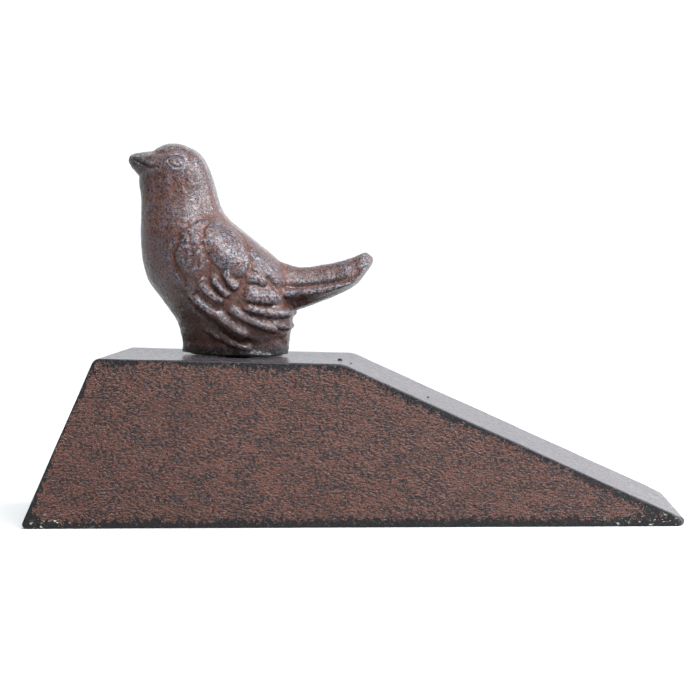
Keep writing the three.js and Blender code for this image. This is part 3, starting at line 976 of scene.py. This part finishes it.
def bird_paint():
    n = Nodes("bird iron")
    ridge = n.attribute("ridge")
    fine, grain, blotch = n.noise(0.48, 2), n.noise(1.0, 4), n.noise(6.0, 3)
    rust = n.mix(n.step(blotch, 0.35, 0.65), tinted(RUST, 0.8), tinted(RUST, 1.25))
    groove = n.step(n.math("ADD", ridge, n.math("MULTIPLY", grain, 0.3)), 0.35, 0.68)
    color = n.mix(groove, RED_RUST_AND_LOW_SHADE, rust)
    # Greyer flakes, with rust left in the cracks between them.
    crack = n.math("ABSOLUTE", n.math("SUBTRACT", n.noise(1.0, 3, roughness=0.6), 0.5))
    flake = n.step(crack, 0.015, 0.06)
    slate = n.math("MULTIPLY", flake, n.step(ridge, 0.42, 0.62))
    slate = n.math("MULTIPLY", slate, n.step(n.noise(3.0, 4), 0.4, 0.55, 0.15, 0.75))
    color = n.mix(slate, color, SLATE_AND_EDGE_HIGHLIGHT)
    # Painted shade on faces turned down below their surroundings, such as the feathers' undersides, with fine
    # dark specks.
    under = n.math("MULTIPLY", n.attribute("under"), n.step(grain, 0.3, 0.5))
    dark = n.math("MAXIMUM", n.step(fine, 0.47, 0.41), under)
    color = n.mix(n.math("MULTIPLY", dark, 0.85), color, BLACK_IRON_AND_SHADE)
    worn_at = n.math("ADD", n.math("MULTIPLY", ridge, 0.9), n.math("MULTIPLY", grain, 0.6))
    worn = n.math("MULTIPLY", n.step(worn_at, 0.8, 1.1), n.step(fine, 0.5, 0.58))
    color = n.mix(n.math("MULTIPLY", worn, 0.35), color, PALE_WEAR_AND_GLINT)
    # Painted shade: the bird is darker low down, and a painted shadow blackens it at the foot. The beak is
    # dark with specks.
    low = n.step(n.place[2], 36, 50, 0.7, 0.0)
    color = n.mix(low, color, tinted(RED_RUST_AND_LOW_SHADE, 0.4))
    color = n.mix(n.step(n.place[2], 40, 37.5, 0.0, 0.85), color, BLACK_IRON_AND_SHADE)
    beak = n.math("MULTIPLY", n.step(n.place[0], -43.5, -46.5), n.step(n.place[2], 74, 78))
    color = n.mix(n.math("MULTIPLY", beak, n.step(grain, 0.6, 0.4, 0.3, 0.8)), color, BLACK_IRON_AND_SHADE)
    # Painted reflection: a pale strip along the crown, the nape and the upper back, on faces turned up and
    # back.
    normal = n.add("SeparateXYZ", {0: n.add("NewGeometry").outputs["Normal"]}).outputs
    strip = n.math("MULTIPLY", n.step(n.math("ABSOLUTE", n.place[1]), 3.0, 2.6), n.step(n.place[2], 55, 58))
    strip = n.math("MULTIPLY", strip, n.step(n.math("ADD", normal[0], normal[2]), 0.0, 0.3))
    strip = n.math("MULTIPLY", strip, n.step(n.place[0], -15, -20))
    strip = n.math("MULTIPLY", strip, n.step(grain, 0.35, 0.6, 0.15, 0.4))
    color = n.mix(strip, color, STRIP_REFLECTION_GREY)
    rough = n.step(grain, 0.3, 0.7, 0.25, 0.38)
    bump = n.math("ADD", n.math("ADD", fine, grain), flake)
    return n.finish(color, rough, n.bump(bump, 0.07), Specular_IOR_Level=0.45)


def wedge_paint():
    n = Nodes("wedge iron")
    x, _, z = n.place
    border = n.math("MULTIPLY", n.attribute("border"), BORDER)
    normal = n.add("SeparateXYZ", {0: n.add("NewGeometry").outputs["Normal"]})
    flank = n.math("ABSOLUTE", normal.outputs[1])
    on_flank = n.step(flank, 0.75, 0.9)
    fine, grain = n.noise(0.4, 2), n.noise(0.8, 4, (1.6, 1.6, 1))
    blotch = n.noise(9.0, 3, (1.5, 1.5, 1))
    color = n.mix(n.step(blotch, 0.3, 0.7), tinted(RUST, 0.72), tinted(RUST, 0.95))
    color = n.mix(n.step(n.noise(0.5, 3), 0.35, 0.65, 0, 0.5), color, tinted(RUST, 1.8))
    # Dark streaks, a few long thin ones, and a ragged dark band along the flanks' edges.
    patch = n.step(n.noise(2.5, 4, (2, 2, 1)), 0.35, 0.65, 0.03, -0.05)
    grooves = n.noise(0.42, 3, (1.8, 1.8, 0.95), 0.62)
    streak = n.step(n.math("ADD", grooves, patch), 0.52, 0.43)
    color = n.mix(n.math("MULTIPLY", streak, 0.92), color, BLACK_IRON_AND_SHADE)
    long_streak = n.step(n.noise(1.0, 3, (9, 9, 0.5)), 0.36, 0.3)
    color = n.mix(n.math("MULTIPLY", long_streak, 0.8), color, BLACK_IRON_AND_SHADE)
    ragged = n.math("MULTIPLY", n.noise(0.8, 5, (1, 1, 1.6), 0.65), 7.0)
    # The band comes and goes, is narrow at the heel and wide along the floor.
    narrow = n.math("ADD", n.step(n.noise(11.0, 3), 0.58, 0.42, 0.0, 0.8), n.step(x, -50, -58, 0.0, 0.7))
    narrow = n.math("SUBTRACT", n.math("MULTIPLY", narrow, n.step(z, 3, 6)), n.step(z, 6, 3, 0.0, 0.25))
    band = n.step(n.math("ADD", n.math("SUBTRACT", border, ragged), narrow), -1.8, -2.3)
    band = n.math("MULTIPLY", band, on_flank)
    color = n.mix(n.math("MULTIPLY", band, 0.95), color, BLACK_IRON_AND_SHADE)
    # Pale chips along the foot, at the heel and at the toe.
    ends = n.math("ADD", n.step(x, -52, -62), n.step(x, 50, 66))
    ends = n.math("MULTIPLY", ends, n.step(z, 4, 1))
    chip = n.math("MULTIPLY", n.step(n.noise(0.9, 3, (1.5, 1.5, 0.8)), 0.63, 0.66), ends)
    color = n.mix(n.math("MULTIPLY", chip, 0.85), color, CHIPPED)
    # Fine painted glints.
    color = n.mix(n.step(fine, 0.66, 0.71, 0, 0.3), color, PALE_WEAR_AND_GLINT)
    # The rounded edges are dark, with a painted highlight: a paler line along them.
    outside = n.step(border, 0.85, 0.5)
    dark_line = n.math("MULTIPLY", n.step(flank, 0.04, 0.15), n.step(flank, 0.995, 0.97))
    dark_line = n.math("MULTIPLY", dark_line, outside)
    color = n.mix(n.math("MULTIPLY", dark_line, 0.9), color, BLACK_IRON_AND_SHADE)
    light = n.math("MULTIPLY", n.step(flank, 0.5, 0.6), n.step(flank, 0.85, 0.75))
    light = n.math("MULTIPLY", light, outside)
    light = n.math("MULTIPLY", light, n.step(n.noise(1.2, 3, (3, 1, 1)), 0.4, 0.65, 0.0, 0.6))
    color = n.mix(light, color, SLATE_AND_EDGE_HIGHLIGHT)
    # Painted reflection tint: the flat top, the ramp and the heel are greyer and darker than the flanks,
    # cooling the grey sheen these faces show.
    color = n.mix(n.step(flank, 0.3, 0.1, 0, 0.65), color, TOP_REFLECTION_GREY)
    # The pimples are dark.
    for px, py, radius, _ in PIMPLES:
        away = n.add("VectorMath", {0: n.flat, 1: (px, py, 0)}, operation="DISTANCE").outputs["Value"]
        color = n.mix(n.step(away, 1.6 * radius, 1.2 * radius), color, BLACK_IRON_AND_SHADE)
    rough = n.math("MULTIPLY", n.step(grain, 0.3, 0.7, 0.24, 0.36), n.step(flank, 0.1, 0.6, 0.85, 1.0))
    rough = n.math("ADD", rough, n.math("MULTIPLY", dark_line, 0.1))
    height = n.math("ADD", n.math("MULTIPLY", grooves, 1.2), grain)
    height = n.math("MULTIPLY", height, n.step(flank, 0.5, 0.9, 0.15, 1.0))
    height = n.math("MULTIPLY", height, n.step(band, 0.0, 1.0, 1.0, 0.5))
    return n.finish(color, rough, n.bump(height, 0.32), Specular_IOR_Level=0.27)


def paper():
    """Pale paper, painted a little darker in the middle, where the lamps are aimed: painted shade that evens
    out their pool of light.
    """
    n = Nodes("paper")
    from_middle = n.add("VectorMath", {0: n.mm}, operation="LENGTH").outputs["Value"]
    color = n.mix(n.step(from_middle, 90, 350), PAPER_SHADED_NEAR, PAPER_FAR)
    rough = n.step(n.noise(5.0, 3), 0.3, 0.7, 0.85, 0.95)
    return n.finish(color, rough, n.bump(n.noise(0.6, 3), 0.01), Specular_IOR_Level=0.2)


def zinc(name, tone):
    n = Nodes(name)
    spangle, fine = n.noise(0.9, 3), n.noise(0.12, 2)
    color = n.mix(n.step(spangle, 0.3, 0.7), tinted(tone, 0.85), tone)
    stain = n.step(n.noise(2.5, 4), 0.6, 0.72, 0, 0.5)
    color = n.mix(stain, color, ZINC_STAIN)
    rough = n.step(spangle, 0.3, 0.7, 0.28, 0.42)
    return n.finish(color, rough, n.bump(fine, 0.02), Metallic=1.0)


def place(ob, material, node, slot):
    """Gives a piece its material and its row in the frame."""
    ob.data.materials.clear()
    ob.data.materials.append(material)
    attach(ob, "root")
    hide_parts(node)


# ---- Scene ----

make_camera()
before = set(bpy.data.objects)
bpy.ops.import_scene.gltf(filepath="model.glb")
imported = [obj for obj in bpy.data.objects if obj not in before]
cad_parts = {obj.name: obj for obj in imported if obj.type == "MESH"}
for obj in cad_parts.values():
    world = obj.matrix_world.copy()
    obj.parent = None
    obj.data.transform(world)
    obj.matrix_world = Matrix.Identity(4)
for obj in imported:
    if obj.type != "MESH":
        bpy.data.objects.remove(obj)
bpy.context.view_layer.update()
make_stage()

place(make_wedge(), wedge_paint(), "wedge_casting", "wedge_iron")
place(make_bird(), bird_paint(), "bird_casting", "bird_iron")
fasteners = [
    (make_screw(), zinc("screw zinc", SCREW_ZINC), "fixing_screw", "screw_steel"),
    (make_spring_washer(), zinc("spring washer zinc", SPRING_ZINC), "spring_washer", "washer_steel"),
    (make_flat_washer(), zinc("washer zinc", WASHER_ZINC), "flat_washer", "washer_steel"),
]
for ob, material, node, slot in fasteners:
    ob.data.shade_smooth()
    ob.data.set_sharp_from_angle(angle=math.radians(FASTENER_SHARP))
    place(ob, material, node, slot)
